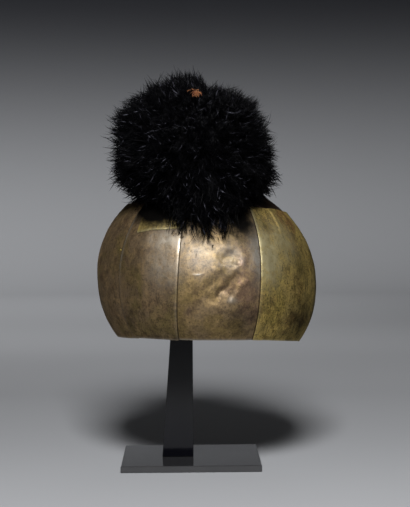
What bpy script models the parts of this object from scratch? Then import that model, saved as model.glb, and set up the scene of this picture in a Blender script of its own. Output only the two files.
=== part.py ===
"""A plumed brass helmet on its plain display stand, as separate closed solids.

Metres, +Z up. The origin is the middle of the stand plate's underside, and the
front of the helmet looks along -Y. Azimuths run from the front towards +X.
"""
import math
import random

import bmesh
import bpy
from mathutils import Euler, Matrix, Vector

# Gap between neighbouring solids, and what is added where coarse facets cut corners
GAP = 0.0003
FACET_SLACK = 0.0003

# Edges blunter than this are shaded smooth
SMOOTH_BELOW = math.radians(40)

# The stand: a flat plate and a bar whose left side leans towards the upright right side
PLATE_WIDTH = 0.1526
PLATE_DEPTH = 0.120
PLATE_THICKNESS = 0.0072
PLATE_BEVEL = 0.0007
POST_DEPTH = 0.020
POST_RIGHT = 0.0026
POST_FOOT_WIDTH = 0.0347
POST_TAPER = 0.0745
POST_BEVEL = 0.0004

# The bowl's form: an ellipse above its widest line, a squarer curve below it
HALF_WIDTH = 0.121
HALF_DEPTH = 0.126
CROWN_HEIGHT = 0.1113
CROWN_POWER = 1.97
BELLY_HEIGHT = 0.1088
BELLY_POWER = 2.30
RIM_DROP = 0.0687
SKEW = -0.053

# Where the bowl stands: its widest line's middle, tipped back and rolled to the right
BOWL_PLACE = Vector((0.0184, 0.0, 0.2079))
BOWL_TIP_BACK = 0.0869
BOWL_ROLL = 0.0284

# The brass sheets
SHEET = 0.0008
LAP = 0.008
LAP_RAMP = 0.010
LAP_LIFT = (SHEET + GAP) / 2
BRASS_ROUGHNESS = 0.38
PANEL_TOP = 0.0755
PANEL_TOP_TILT = 0.0035
PANEL_TOP_LOW_SIDE = math.radians(50)
PANEL_ROWS = 12
PANEL_STEP = math.radians(6.5)

# Seams, in degrees of azimuth where they cross the crown, the waist and the rim
SEAM_HEIGHTS = (0.060, 0.0, -0.068)
SEAMS = (
    # seam, crown, waist, rim
    ("left", -46.6, -50.0, -52.3),
    ("front_left", -13.3, -14.9, -18.9),
    ("front_right", 29.3, 26.8, 25.7),
    ("right", 95.0, 92.0, 89.0),
    ("back_right", 138.6, 135.6, 132.6),
    ("back", 182.2, 179.2, 176.2),
    ("back_left", 225.8, 222.8, 219.8),
    ("far_left", 269.4, 266.4, 263.4),
)

# Panels, each from its own seam to the next one; rim heights are relative to RIM_DROP
PANELS = (
    # node, lies over its neighbours, rim at the left seam, rim at the right seam, colour
    ("panel_front_left", True, 0.0006, -0.0005, (0.23, 0.17, 0.10)),
    ("panel_front", False, -0.0004, 0.0010, (0.33, 0.27, 0.19)),
    ("panel_right", True, 0.0013, -0.0012, (0.36, 0.30, 0.10)),
    ("panel_right_back", False, -0.0006, 0.0004, (0.28, 0.22, 0.10)),
    ("panel_back_right", True, 0.0, 0.0003, (0.25, 0.19, 0.10)),
    ("panel_back_left", False, -0.0003, 0.0, (0.27, 0.21, 0.12)),
    ("panel_left_back", True, 0.0004, -0.0002, (0.21, 0.15, 0.09)),
    ("panel_left", False, 0.0, -0.0006, (0.19, 0.13, 0.08)),
)

# Dents in the front sheet, their azimuths in degrees
DENTS = (
    # azimuth, height, half_width, half_height, depth
    (12.0, 0.0225, 0.0125, 0.0115, 0.0016),
    (9.0, -0.0150, 0.0230, 0.0215, 0.0026),
    (14.5, -0.0060, 0.0130, 0.0160, 0.0012),
)
DENT_STEEPNESS = 1.4

# The dart in the right sheet: its right flap lies on its left one, above the dart's foot
DART_AZIMUTH = math.radians(43.0)
DART_WIDTH = math.radians(0.8)
DART_FADE = math.radians(24.0)
DART_FOOT = 0.040
DART_FULL = 0.052
DART_RISE = 0.0009

# The crown cap runs under the panels' top edges
CAP_LAP = 0.010
CAP_OUT = -(LAP_LIFT + SHEET + GAP + FACET_SLACK)
CAP_COLUMNS = 40
CAP_ROWS = 8

# The patch on the front left sheet
PATCH_SHEET = 0.0005
PATCH_OUT = SHEET / 2 + GAP + PATCH_SHEET / 2
PATCH_LEFT = math.radians(-40.3)
PATCH_RIGHT = math.radians(-14.6)
PATCH_LOW_LEFT = 0.0412
PATCH_LOW_RIGHT = 0.0455
PATCH_TOP = 0.066
PATCH_COLUMNS = 6
PATCH_ROWS = 4

# The disc that carries the crown
DISC_LATITUDE = math.radians(73.5)
DISC_OUT = CAP_OUT - SHEET / 2 - GAP - FACET_SLACK
DISC_THICKNESS = 0.004
DISC_SIDES = 40

# The plume, in the bowl's own frame: a ball of locks with a lobe that hangs down the front
PLUME_CENTRE = Vector((-0.0156, -0.0580, 0.1355))
PLUME_AHEAD = 0.081
PLUME_BEHIND = 0.084
PLUME_OUTLINE = (
    # angle from straight up, clockwise seen from the front, in degrees; reach of the tips
    (0.0, 0.0780),
    (12.0, 0.0675),
    (28.0, 0.0720),
    (45.0, 0.0810),
    (75.0, 0.0800),
    (95.0, 0.0850),
    (115.0, 0.0940),
    (130.0, 0.0910),
    (150.0, 0.0880),
    (180.0, 0.0840),
    (205.0, 0.0770),
    (222.0, 0.0830),
    (242.0, 0.0910),
    (270.0, 0.0885),
    (292.0, 0.0925),
    (312.0, 0.0840),
    (340.0, 0.0825),
    (360.0, 0.0780),
)
LOBE_TIP = Vector((-0.0045, -0.1335, 0.0370))
LOBE_WIDTH = math.radians(24)
LOCK_LENGTH = 0.019
LOCK_VARIETY = 0.35
LOCK_SWAY = 0.0030
LOCK_SEED = 7
PLUME_FACES = 4
SEAT_SEARCH_STEPS = 24
SEAT_OVER_PANELS = 0.0025
SEAT_OVER_CAP = CAP_OUT + SHEET / 2 + GAP + FACET_SLACK
SEAT_CAP_HEIGHTS = (0.090, 0.100)


def remove_everything():
    """Empty the scene."""
    for thing in list(bpy.data.objects):
        bpy.data.objects.remove(thing, do_unlink=True)


def blend(value, start, end):
    """Run smoothly from 0 at start to 1 at end."""
    share = min(1.0, max(0.0, (value - start) / (end - start)))
    return share * share * (3 - 2 * share)


def finish(name, colour, roughness, metallic):
    """Make one Principled material."""
    material = bpy.data.materials.new(name)
    material.use_nodes = True
    shader = material.node_tree.nodes["Principled BSDF"]
    shader.inputs["Base Color"].default_value = (*colour, 1.0)
    shader.inputs["Roughness"].default_value = roughness
    shader.inputs["Metallic"].default_value = metallic
    material.diffuse_color = (*colour, 1.0)
    return material


def add_solid(name, mesh_builder, material, parent=None, smooth=True):
    """Turn a bmesh into a named object and let go of the bmesh."""
    mesh = bpy.data.meshes.new(name)
    bmesh.ops.recalc_face_normals(mesh_builder, faces=mesh_builder.faces)
    mesh_builder.to_mesh(mesh)
    mesh_builder.free()
    mesh.materials.append(material)
    if smooth:
        mesh.shade_smooth()
        mesh.set_sharp_from_angle(angle=SMOOTH_BELOW)
    solid = bpy.data.objects.new(name, mesh)
    bpy.context.collection.objects.link(solid)
    solid.parent = parent
    return solid


def bevel_edges(solid, width):
    """Break every sharp edge by one narrow flat."""
    bevel = solid.modifiers.new("edge", "BEVEL")
    bevel.width = width
    bevel.segments = 1
    bevel.limit_method = "ANGLE"


def thicken(solid, thickness):
    """Give a sheet its thickness, half to each side."""
    wall = solid.modifiers.new("wall", "SOLIDIFY")
    wall.thickness = thickness
    wall.offset = 0.0


def contour(latitude):
    """Width share, height and outward slope of the bowl's form at one latitude."""
    lift = math.sin(latitude)
    power, height = (CROWN_POWER, CROWN_HEIGHT) if lift >= 0 else (BELLY_POWER, BELLY_HEIGHT)
    share = max(0.0, 1 - abs(lift) ** power) ** (1 / power)
    slope_out = share ** (power - 1) / HALF_WIDTH
    slope_up = math.copysign(abs(lift) ** (power - 1) / height, lift)
    steepness = math.hypot(slope_out, slope_up)
    return share, height * lift, slope_out / steepness, slope_up / steepness


def latitude_at(height):
    """The latitude of a height above or below the waist."""
    return math.asin(height / (CROWN_HEIGHT if height >= 0 else BELLY_HEIGHT))


def bowl_point(azimuth, latitude, out=0.0):
    """A point of the bowl's form, moved out along its slope."""
    share, height, slope_out, slope_up = contour(latitude)
    across = (HALF_WIDTH * share + out * slope_out) * math.sin(azimuth)
    ahead = (HALF_DEPTH * share + out * slope_out) * math.cos(azimuth)
    lift = height + out * slope_up
    return Vector((across + SKEW * height, -ahead, lift))


def seam_azimuth(seam, height):
    """Where a seam runs at one height, on a parabola through its three given azimuths."""
    top, middle, low = SEAM_HEIGHTS
    _, crown, waist, rim = SEAMS[seam % len(SEAMS)]
    slope_up = (crown - waist) / (top - middle)
    slope_down = (waist - rim) / (middle - low)
    bow = (slope_up - slope_down) / (top - low)
    turns = 360.0 * (seam // len(SEAMS))
    return math.radians(waist + (height - middle) * (slope_up + bow * (height - top)) + turns)


def panel_top(azimuth):
    """The latitude of the panels' top edge, which is lowest at the right of the front."""
    return latitude_at(PANEL_TOP - PANEL_TOP_TILT * math.cos(azimuth - PANEL_TOP_LOW_SIDE))


def lap_lift(azimuth, start, end, over):
    """How far a sheet stands out or in, near the two seams that it shares."""
    inside = min(azimuth - start, end - azimuth) * HALF_WIDTH
    lift = LAP_LIFT if over else -LAP_LIFT
    flat = LAP if over else 0.0
    return lift * (1 - blend(inside, flat, flat + LAP_RAMP))


def dent_depth(azimuth, height):
    """Depth of the dents at one place on the front sheet."""
    depth = 0.0
    for centre, middle, half_width, half_height, deepest in DENTS:
        across = (azimuth - math.radians(centre)) * HALF_WIDTH / half_width
        up = (height - middle) / half_height
        depth += deepest * math.exp(-(across ** 2 + up ** 2) * DENT_STEEPNESS)
    return depth


def dart_rise(azimuth, height):
    """How far the dart's right flap stands out."""
    step = blend(azimuth, DART_AZIMUTH, DART_AZIMUTH + DART_WIDTH)
    fade = 1 - blend(azimuth, DART_AZIMUTH + DART_WIDTH, DART_AZIMUTH + DART_FADE)
    return DART_RISE * step * fade * blend(height, DART_FOOT, DART_FULL)


def panel_columns(start, end, over, extra):
    """The azimuths of one row of a sheet, with those of both laps among them."""
    lap = LAP / HALF_WIDTH
    ramp = LAP_RAMP / HALF_WIDTH
    inner_start = start + ramp + (lap if over else 0.0)
    inner_end = end - ramp - (lap if over else 0.0)
    steps = math.ceil((inner_end - inner_start) / PANEL_STEP)
    inner = [inner_start + (inner_end - inner_start) * i / steps for i in range(steps + 1)]
    if extra:
        inner = sorted([a for a in inner if min(abs(a - e) for e in extra) > lap / 3] + extra)
    if over:
        return [start, start + lap] + inner + [end - lap, end]
    return [start - lap, start] + inner + [end, end + lap]


def grid_sheet(name, rows, material, thickness, parent):
    """A thin closed sheet through rows of points."""
    builder = bmesh.new()
    grid = [[builder.verts.new(point) for point in row] for row in rows]
    for low, high in zip(grid, grid[1:]):
        for i in range(len(low) - 1):
            builder.faces.new((low[i], low[i + 1], high[i + 1], high[i]))
    solid = add_solid(name, builder, material, parent)
    thicken(solid, thickness)
    return solid


def make_panel(index, parent):
    """One brass sheet of the bowl."""
    name, over, rim_left, rim_right, colour = PANELS[index]
    extra = [DART_AZIMUTH, DART_AZIMUTH + DART_WIDTH] if name == "panel_right" else []
    middle_start, middle_end = seam_azimuth(index, 0.0), seam_azimuth(index + 1, 0.0)
    guide = panel_columns(middle_start, middle_end, over, extra)
    rows = []
    for level in range(PANEL_ROWS + 1):
        share_up = level / PANEL_ROWS
        row = []
        for column in guide:
            share_across = (column - middle_start) / (middle_end - middle_start)
            wave = rim_left + (rim_right - rim_left) * min(1.0, max(0.0, share_across))
            rim = latitude_at(-RIM_DROP + wave)
            latitude = rim + (panel_top(column) - rim) * share_up
            height = contour(latitude)[1]
            start, end = seam_azimuth(index, height), seam_azimuth(index + 1, height)
            azimuth = follow_seams(column, middle_start, middle_end, start, end)
            out = lap_lift(azimuth, start, end, over)
            if name == "panel_front":
                out -= dent_depth(azimuth, height)
            if name == "panel_right":
                out += dart_rise(column, height)
            row.append(bowl_point(azimuth, latitude, out))
        rows.append(row)
    material = finish(name, colour, BRASS_ROUGHNESS, 1.0)
    return grid_sheet(name, rows, material, SHEET, parent)


def follow_seams(azimuth, middle_start, middle_end, start, end):
    """Move an azimuth of the waist to another height, with the seams beside it."""
    share = blend(azimuth, middle_start, middle_end)
    return azimuth + (start - middle_start) * (1 - share) + (end - middle_end) * share


def make_cap(parent):
    """The bowl's closed top, a shallow dish under the panels' top edges."""
    builder = bmesh.new()
    turn = [math.tau * i / CAP_COLUMNS for i in range(CAP_COLUMNS)]
    rings = []
    for level in range(CAP_ROWS):
        ring = []
        for azimuth in turn:
            edge = panel_top(azimuth) - CAP_LAP / CROWN_HEIGHT
            latitude = edge + (math.pi / 2 - edge) * level / CAP_ROWS
            ring.append(builder.verts.new(bowl_point(azimuth, latitude, CAP_OUT)))
        rings.append(ring)
    pole = builder.verts.new(bowl_point(0.0, math.pi / 2, CAP_OUT))
    for low, high in zip(rings, rings[1:]):
        for i in range(CAP_COLUMNS):
            j = (i + 1) % CAP_COLUMNS
            builder.faces.new((low[i], low[j], high[j], high[i]))
    for i in range(CAP_COLUMNS):
        builder.faces.new((rings[-1][i], rings[-1][(i + 1) % CAP_COLUMNS], pole))
    material = finish("crown_cap", (0.16, 0.11, 0.09), BRASS_ROUGHNESS, 1.0)
    cap = add_solid("crown_cap", builder, material, parent)
    thicken(cap, SHEET)
    return cap


def make_patch(parent):
    """The small yellow sheet that lies on the front left panel."""
    rows = []
    for level in range(PATCH_ROWS + 1):
        row = []
        for column in range(PATCH_COLUMNS + 1):
            across = column / PATCH_COLUMNS
            azimuth = PATCH_LEFT + (PATCH_RIGHT - PATCH_LEFT) * across
            low = PATCH_LOW_LEFT + (PATCH_LOW_RIGHT - PATCH_LOW_LEFT) * across
            height = low + (PATCH_TOP - low) * level / PATCH_ROWS
            start, end = seam_azimuth(0, height), seam_azimuth(1, height)
            out = PATCH_OUT + lap_lift(azimuth, start, end, True)
            row.append(bowl_point(azimuth, latitude_at(height), out))
        rows.append(row)
    material = finish("crown_patch", (0.42, 0.36, 0.14), BRASS_ROUGHNESS, 1.0)
    return grid_sheet("crown_patch", rows, material, PATCH_SHEET, parent)


def disc_rim():
    """Radius and height of the disc's top edge, in the bowl's frame."""
    share, height, slope_out, slope_up = contour(DISC_LATITUDE)
    return HALF_WIDTH * share + DISC_OUT * slope_out, height + DISC_OUT * slope_up


def make_disc(parent):
    """The plain disc that the crown rests on."""
    radius, top = disc_rim()
    builder = bmesh.new()
    bmesh.ops.create_cone(builder, cap_ends=True, segments=DISC_SIDES, radius1=radius,
                          radius2=radius, depth=DISC_THICKNESS)
    middle = Vector((SKEW * top, 0.0, top - DISC_THICKNESS / 2))
    bmesh.ops.translate(builder, verts=builder.verts, vec=middle)
    material = finish("support_disc", (0.02, 0.02, 0.025), 0.45, 1.0)
    return add_solid("support_disc", builder, material, parent)


def make_plate():
    """The stand's plate, its underside on the ground."""
    builder = bmesh.new()
    bmesh.ops.create_cube(builder, size=1.0)
    size = (PLATE_WIDTH, PLATE_DEPTH, PLATE_THICKNESS)
    bmesh.ops.scale(builder, vec=size, verts=builder.verts)
    bmesh.ops.translate(builder, vec=(0, 0, PLATE_THICKNESS / 2), verts=builder.verts)
    material = finish("stand_base", (0.10, 0.10, 0.10), 0.28, 1.0)
    plate = add_solid("stand_base", builder, material, smooth=False)
    bevel_edges(plate, PLATE_BEVEL)
    return plate


def height_under_disc(pose, across, along):
    """The height of the disc's underside, less the gap, over one place on the floor."""
    _, top = disc_rim()
    lowest = top - DISC_THICKNESS - GAP
    normal = pose.to_3x3() @ Vector((0, 0, 1))
    foot = pose @ Vector((0, 0, lowest))
    lean = normal.x * (across - foot.x) + normal.y * (along - foot.y)
    return foot.z - lean / normal.z


def make_post(pose):
    """The stand's bar, from the plate up to the disc, its top cut to the disc's slant."""
    foot = PLATE_THICKNESS + GAP
    builder = bmesh.new()
    bmesh.ops.create_cube(builder, size=1.0)
    for corner in builder.verts:
        right = corner.co.x > 0
        along = math.copysign(POST_DEPTH / 2, corner.co.y)
        left_foot = POST_RIGHT - POST_FOOT_WIDTH
        if corner.co.z < 0:
            corner.co = (POST_RIGHT if right else left_foot, along, foot)
            continue
        top = height_under_disc(pose, 0.0, along)
        across = POST_RIGHT if right else left_foot + POST_TAPER * (top - foot)
        corner.co = (across, along, height_under_disc(pose, across, along))
    material = finish("stand_post", (0.012, 0.012, 0.018), 0.30, 1.0)
    post = add_solid("stand_post", builder, material, smooth=False)
    bevel_edges(post, POST_BEVEL)
    return post


def outline_reach(angle):
    """The reach of the tips at one angle of the plume's outline, seen from the front."""
    for (low, low_reach), (high, high_reach) in zip(PLUME_OUTLINE, PLUME_OUTLINE[1:]):
        if angle <= high:
            return low_reach + (high_reach - low_reach) * blend(angle, low, high)
    return PLUME_OUTLINE[-1][1]


def plume_reach(direction):
    """How far the plume's tips reach from its centre in one direction."""
    angle = math.degrees(math.atan2(direction.x, direction.z)) % 360.0
    aside = math.hypot(direction.x, direction.z) / outline_reach(angle)
    along = direction.y / (PLUME_AHEAD if direction.y < 0 else PLUME_BEHIND)
    reach = 1 / math.hypot(aside, along)
    to_lobe = LOBE_TIP - PLUME_CENTRE
    lobe = math.exp(-((direction.angle(to_lobe) / LOBE_WIDTH) ** 2))
    return reach + (to_lobe.length - reach) * lobe


def outside_bowl(point, clearance):
    """How many times its own clearance surface a point lies out; under 1 is inside."""
    straight = point.x - SKEW * point.z
    return math.sqrt((straight / (HALF_WIDTH + clearance)) ** 2
                     + (point.y / (HALF_DEPTH + clearance)) ** 2
                     + (point.z / (CROWN_HEIGHT + clearance)) ** 2)


def seat_clearance(height):
    """The plume's clearance: little over the cap, more over the thicker panels."""
    low, high = SEAT_CAP_HEIGHTS
    return SEAT_OVER_PANELS + (SEAT_OVER_CAP - SEAT_OVER_PANELS) * blend(height, low, high)


def reach_to_bowl(direction, reach):
    """Cut a reach short where it would enter the bowl; say whether it was cut."""
    low, high = 0.0, reach
    tip = PLUME_CENTRE + direction * reach
    if outside_bowl(tip, seat_clearance(tip.z)) >= 1:
        return reach, False
    for _ in range(SEAT_SEARCH_STEPS):
        middle = (low + high) / 2
        tip = PLUME_CENTRE + direction * middle
        if outside_bowl(tip, seat_clearance(tip.z)) >= 1:
            low = middle
        else:
            high = middle
    return low, True


def make_plume(parent):
    """The feather ball: a backing drawn out into locks, flat where it sits on the bowl."""
    dice = random.Random(LOCK_SEED)
    builder = bmesh.new()
    bmesh.ops.create_icosphere(builder, subdivisions=PLUME_FACES, radius=1.0)
    seated = {}
    for root in builder.verts:
        direction = root.co.normalized()
        reach, cut = reach_to_bowl(direction, plume_reach(direction) - LOCK_LENGTH)
        root.co = PLUME_CENTRE + direction * reach
        seated[root.index] = cut
    for face in list(builder.faces):
        direction = (face.calc_center_median() - PLUME_CENTRE).normalized()
        length = LOCK_LENGTH * (1 + LOCK_VARIETY * dice.uniform(-1, 0.5))
        sway = Vector([dice.uniform(-LOCK_SWAY, LOCK_SWAY) for _ in range(3)])
        if any(seated[corner.index] for corner in face.verts):
            continue
        tip = face.calc_center_median() + direction * length + sway
        if outside_bowl(tip, SEAT_OVER_PANELS) < 1:
            continue
        lock = bmesh.ops.poke(builder, faces=[face])
        lock["verts"][0].co = tip
    material = finish("plume", (0.008, 0.008, 0.010), 0.6, 0.0)
    return add_solid("plume", builder, material, parent, smooth=False)


def build():
    """Make every solid."""
    remove_everything()
    frame = bpy.data.objects.new("bowl_frame", None)
    bpy.context.collection.objects.link(frame)
    frame.location = BOWL_PLACE
    frame.rotation_euler = (-BOWL_TIP_BACK, BOWL_ROLL, 0.0)
    turn = Euler((-BOWL_TIP_BACK, BOWL_ROLL, 0.0)).to_matrix().to_4x4()
    pose = Matrix.Translation(BOWL_PLACE) @ turn
    for index in range(len(PANELS)):
        make_panel(index, frame)
    make_cap(frame)
    make_patch(frame)
    make_disc(frame)
    make_plume(frame)
    make_plate()
    make_post(pose)


build()
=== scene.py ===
"""The looks of the plumed brass helmet on its plain display stand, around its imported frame.

Metres, +Z up. The front of the helmet looks along -Y, and azimuths run from the front
towards +X. The bowl's own frame has its widest line at height 0.
"""
import math

import bpy
import numpy as np
from mathutils import Matrix, Vector


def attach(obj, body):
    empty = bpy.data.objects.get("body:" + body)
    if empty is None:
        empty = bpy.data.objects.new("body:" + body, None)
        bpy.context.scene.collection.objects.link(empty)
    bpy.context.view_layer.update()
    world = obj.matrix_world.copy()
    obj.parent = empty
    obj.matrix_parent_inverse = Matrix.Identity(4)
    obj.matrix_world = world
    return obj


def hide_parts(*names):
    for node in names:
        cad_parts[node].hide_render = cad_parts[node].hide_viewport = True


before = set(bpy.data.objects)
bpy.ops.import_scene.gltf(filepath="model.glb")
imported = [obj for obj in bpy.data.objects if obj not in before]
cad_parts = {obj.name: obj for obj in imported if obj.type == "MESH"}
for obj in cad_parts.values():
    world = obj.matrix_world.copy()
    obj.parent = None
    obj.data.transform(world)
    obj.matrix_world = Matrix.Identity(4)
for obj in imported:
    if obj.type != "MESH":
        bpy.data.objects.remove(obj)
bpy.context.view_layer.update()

# The bowl's form, the same as that of the frame's solids
HALF_WIDTH = 0.121
HALF_DEPTH = 0.126
CROWN_HEIGHT = 0.1113
CROWN_POWER = 1.97
BELLY_HEIGHT = 0.1088
BELLY_POWER = 2.30
RIM_DROP = 0.0687
SKEW = -0.053
BOWL_PLACE = Vector((0.0184, 0.0, 0.2079))
BOWL_TIP_BACK = 0.0869
BOWL_ROLL = 0.0284

# The brass sheets
SHEET = 0.0008
GAP = 0.0003
LAP = 0.008
LAP_RAMP = 0.010
LAP_LIFT = (SHEET + GAP) / 2
PANEL_TOP = 0.0755
PANEL_TOP_TILT = 0.0035
PANEL_TOP_LOW_SIDE = math.radians(50)
SHEET_GRID = 0.0017
FRONT_GRID = 0.0010
PANEL_LENGTH = 0.155
EDGE_ROUND = 0.00025
EDGE_DROOP = 0.00022

# Seams, in degrees of azimuth where they cross the crown, the waist and the rim
SEAM_HEIGHTS = (0.060, 0.0, -0.068)
SEAMS = (
    # seam, crown, waist, rim
    ("left", -46.6, -50.0, -52.3),
    ("front_left", -13.3, -14.9, -18.9),
    ("front_right", 29.3, 26.8, 25.7),
    ("right", 95.0, 92.0, 89.0),
    ("back_right", 138.6, 135.6, 132.6),
    ("back", 182.2, 179.2, 176.2),
    ("back_left", 225.8, 222.8, 219.8),
    ("far_left", 269.4, 266.4, 263.4),
)

# Panels, each from its own seam to the next one; rim heights are relative to RIM_DROP
PANELS = (
    # node, lies over its neighbours, rim at the left seam, rim at the right seam, finish
    ("panel_front_left", True, 0.0006, -0.0005, "brass_brown"),
    ("panel_front", False, -0.0004, 0.0010, "brass_pale"),
    ("panel_right", True, 0.0013, -0.0012, "brass_yellow"),
    ("panel_right_back", False, -0.0006, 0.0004, "brass_yellow"),
    ("panel_back_right", True, 0.0, 0.0003, "brass_brown"),
    ("panel_back_left", False, -0.0003, 0.0, "brass_pale"),
    ("panel_left_back", True, 0.0004, -0.0002, "brass_brown"),
    ("panel_left", False, 0.0, -0.0006, "brass_brown"),
)

# Dishes beaten into the sheets, each with a raised rim; azimuths in degrees
DENTS = (
    # node, azimuth, height, half_width, half_height, depth, rim_rise
    ("panel_front", 11.2, 0.0170, 0.0150, 0.0110, 0.0017, 0.00055),
    ("panel_front", 10.3, 0.0118, 0.0040, 0.0036, 0.0005, 0.00010),
    ("panel_front", 15.0, 0.0125, 0.0038, 0.0038, 0.0005, 0.00010),
    ("panel_front", 8.5, -0.0160, 0.0280, 0.0220, 0.0027, 0.00045),
    ("panel_front", -4.5, 0.0270, 0.0085, 0.0040, 0.0003, 0.00008),
    ("panel_front", 0.5, 0.0235, 0.0060, 0.0040, 0.0003, 0.00008),
)
RIM_SHARE = 0.32
DENT_WANDER = 0.0010

# Ridges and grooves in the sheets, from one place to another
CREASES = (
    # node, azimuth_a, height_a, azimuth_b, height_b, half_width, rise
    ("panel_front", 10.5, -0.0015, 1.5, -0.0215, 0.0048, 0.0014),
    ("panel_front", 13.8, -0.0010, 6.4, -0.0176, 0.0044, -0.0011),
    ("panel_front", 6.4, -0.0176, -1.0, -0.0265, 0.0040, -0.0009),
    ("panel_front", 18.0, -0.0080, 11.0, -0.0268, 0.0048, 0.0013),
    ("panel_front", 11.3, -0.0272, 9.6, -0.0278, 0.0030, 0.0006),
    ("panel_front", -7.4, -0.0012, -2.8, -0.0016, 0.0013, 0.0003),
    ("panel_front", 4.4, 0.0040, 20.0, 0.0030, 0.0060, 0.0005),
    ("panel_front_left", -33.0, 0.0400, -33.6, -0.0620, 0.0060, 0.0005),
)

# Stains and worn places, and places of painted highlight and painted shade, their azimuths in degrees; strengths
# over 1 spread the full tone
STAINS = (
    # kind, azimuth, height, half_width, half_height, strength
    # Pale rubbed brass where the light falls on the front sheets: partly real wear, partly painted highlight
    ("rub_and_highlight", -5.0, 0.0180, 0.022, 0.018, 0.38),
    ("rub_and_highlight", 11.5, 0.0180, 0.018, 0.015, 0.40),
    ("rub_and_highlight", 11.3, -0.0268, 0.005, 0.003, 0.50),
    ("rub_and_highlight", -5.0, -0.0014, 0.006, 0.0012, 0.60),
    ("rub_and_highlight", -21.0, 0.0340, 0.020, 0.014, 0.90),
    ("rub_and_highlight", -22.0, 0.0080, 0.018, 0.022, 0.60),
    ("rub_and_highlight", 31.0, 0.0200, 0.016, 0.026, 1.50),
    ("rub_and_highlight", 44.0, 0.0360, 0.022, 0.020, 0.80),
    ("olive", -36.3, -0.0150, 0.0030, 0.022, 0.6),
    ("olive", -37.5, -0.0335, 0.0065, 0.004, 0.7),
    ("olive", -6.0, -0.0120, 0.018, 0.020, 0.6),
    ("olive", 2.0, -0.0500, 0.060, 0.012, 0.5),
    ("copper", 59.0, 0.0610, 0.014, 0.009, 0.8),
    ("copper", 20.0, -0.0050, 0.012, 0.040, 0.4),
    # Near-black painted shade: the plume's shadow and reflection on the sheets' tops, and the darker left and
    # right sides and low parts; the two small spots on the right sheet are dark stains
    ("soot_and_shade", -30.0, 0.0780, 0.040, 0.024, 2.60),
    ("soot_and_shade", -3.0, 0.0560, 0.026, 0.014, 1.00),
    ("soot_and_shade", 19.0, 0.0610, 0.026, 0.029, 1.20),
    ("soot_and_shade", -80.0, -0.0200, 0.048, 0.090, 0.82),
    ("soot_and_shade", -43.0, -0.0100, 0.014, 0.070, 0.30),
    ("soot_and_shade", -48.0, -0.0500, 0.018, 0.020, 0.45),
    ("soot_and_shade", -20.0, -0.0640, 0.080, 0.022, 0.35),
    ("soot_and_shade", -27.0, 0.0500, 0.030, 0.009, 0.35),
    ("soot_and_shade", 17.0, -0.0480, 0.026, 0.024, 0.58),
    ("soot_and_shade", 35.5, 0.0510, 0.009, 0.008, 0.50),
    ("soot_and_shade", 44.0, 0.0080, 0.006, 0.004, 0.35),
    ("soot_and_shade", 60.0, -0.0450, 0.036, 0.034, 0.70),
    ("soot_and_shade", 57.0, 0.0050, 0.020, 0.030, 0.50),
    ("soot_and_shade", 86.0, 0.0000, 0.034, 0.090, 0.78),
)
STAIN_KINDS = ("rub_and_highlight", "olive", "copper", "soot_and_shade")

# The dart in the right sheet
DART_AZIMUTH = math.radians(43.0)
DART_WIDTH = math.radians(0.8)
DART_FADE = math.radians(24.0)
DART_FOOT = 0.040
DART_FULL = 0.052
DART_RISE = 0.0009

# The crown cap and the patch on the front left sheet
CAP_LAP = 0.010
CAP_OUT = -(LAP_LIFT + SHEET + GAP + 0.0003)
PATCH_SHEET = 0.0005
PATCH_OUT = SHEET / 2 + GAP + PATCH_SHEET / 2
PATCH_TOP = 0.066
PATCH_LOW_EDGE = (
    # azimuth in degrees, height
    (-40.3, 0.0414),
    (-34.8, 0.0429),
    (-30.7, 0.0444),
    (-20.9, 0.0446),
    (-14.6, 0.0456),
)

# The small rivet beside the left seam
RIVET_AZIMUTH = math.radians(-50.7)
RIVET_LATITUDE_HEIGHT = 0.024
RIVET_RADIUS = 0.0013
RIVET_RISE = 0.0007

# The plume, in the bowl's own frame
PLUME_CENTRE = np.array((-0.0156, -0.0580, 0.1355))
PLUME_AHEAD = 0.081
PLUME_BEHIND = 0.084
PLUME_OUTLINE = (
    # angle from straight up, clockwise seen from the front, in degrees; reach of the tips
    (0.0, 0.0780),
    (12.0, 0.0675),
    (28.0, 0.0720),
    (45.0, 0.0810),
    (75.0, 0.0800),
    (95.0, 0.0850),
    (115.0, 0.0940),
    (130.0, 0.0910),
    (150.0, 0.0880),
    (180.0, 0.0840),
    (205.0, 0.0770),
    (222.0, 0.0830),
    (242.0, 0.0910),
    (270.0, 0.0885),
    (292.0, 0.0925),
    (312.0, 0.0840),
    (340.0, 0.0825),
    (360.0, 0.0780),
)
LOBE_TIP = np.array((-0.0045, -0.1335, 0.0370))
LOBE_WIDTH = math.radians(24)
SEAT = 0.0022
CORE_SHARE = 0.80
STRAND_RINGS = 3
STRAND_WIDTH = 0.00042
PLUME_PIECES = 5
STRANDS_PER_PIECE = 8800
LOCK_STRANDS = 10
LOCK_LEAN = 0.28
# The share of strands with a painted glint
GLINT_SHARE = 0.07
PLUME_SEED = 11

# The small tan tuft in the plume's front
TUFT_PLACE = np.array((-0.0165, -0.1195, 0.1880))
TUFT_SPREAD = 0.0018
TUFT_STRANDS = 44

# Painted fall-off of light on the stage: how pale the floor is by its distance behind the middle, darker in
# front, and the wall's foot and top, between which the wall darkens upward
FLOOR_NEAR, FLOOR_FAR = -1.5, 2.5
FLOOR_STOPS = ((-1.5, 0.14), (-1.15, 0.09), (-0.7, 0.15), (-0.36, 0.42), (0.1, 0.42), (0.6, 0.48),
               (1.0, 0.44), (1.6, 0.36), (2.4, 0.44))
STAGE_TINT = (0.94, 0.958, 1.0)
WALL_FOOT, WALL_TOP = 0.05, 1.05
WALL_TOP_COLOUR = (0.022, 0.023, 0.027)

# The camera, as it stood for the photograph
CAMERA_PLACE = Vector((-0.0019, -1.4566, 0.3002))
CAMERA_YAW = 0.0130
CAMERA_PITCH = 0.0458
CAMERA_ROLL = -0.0068
CAMERA_LENS = 92.87


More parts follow.
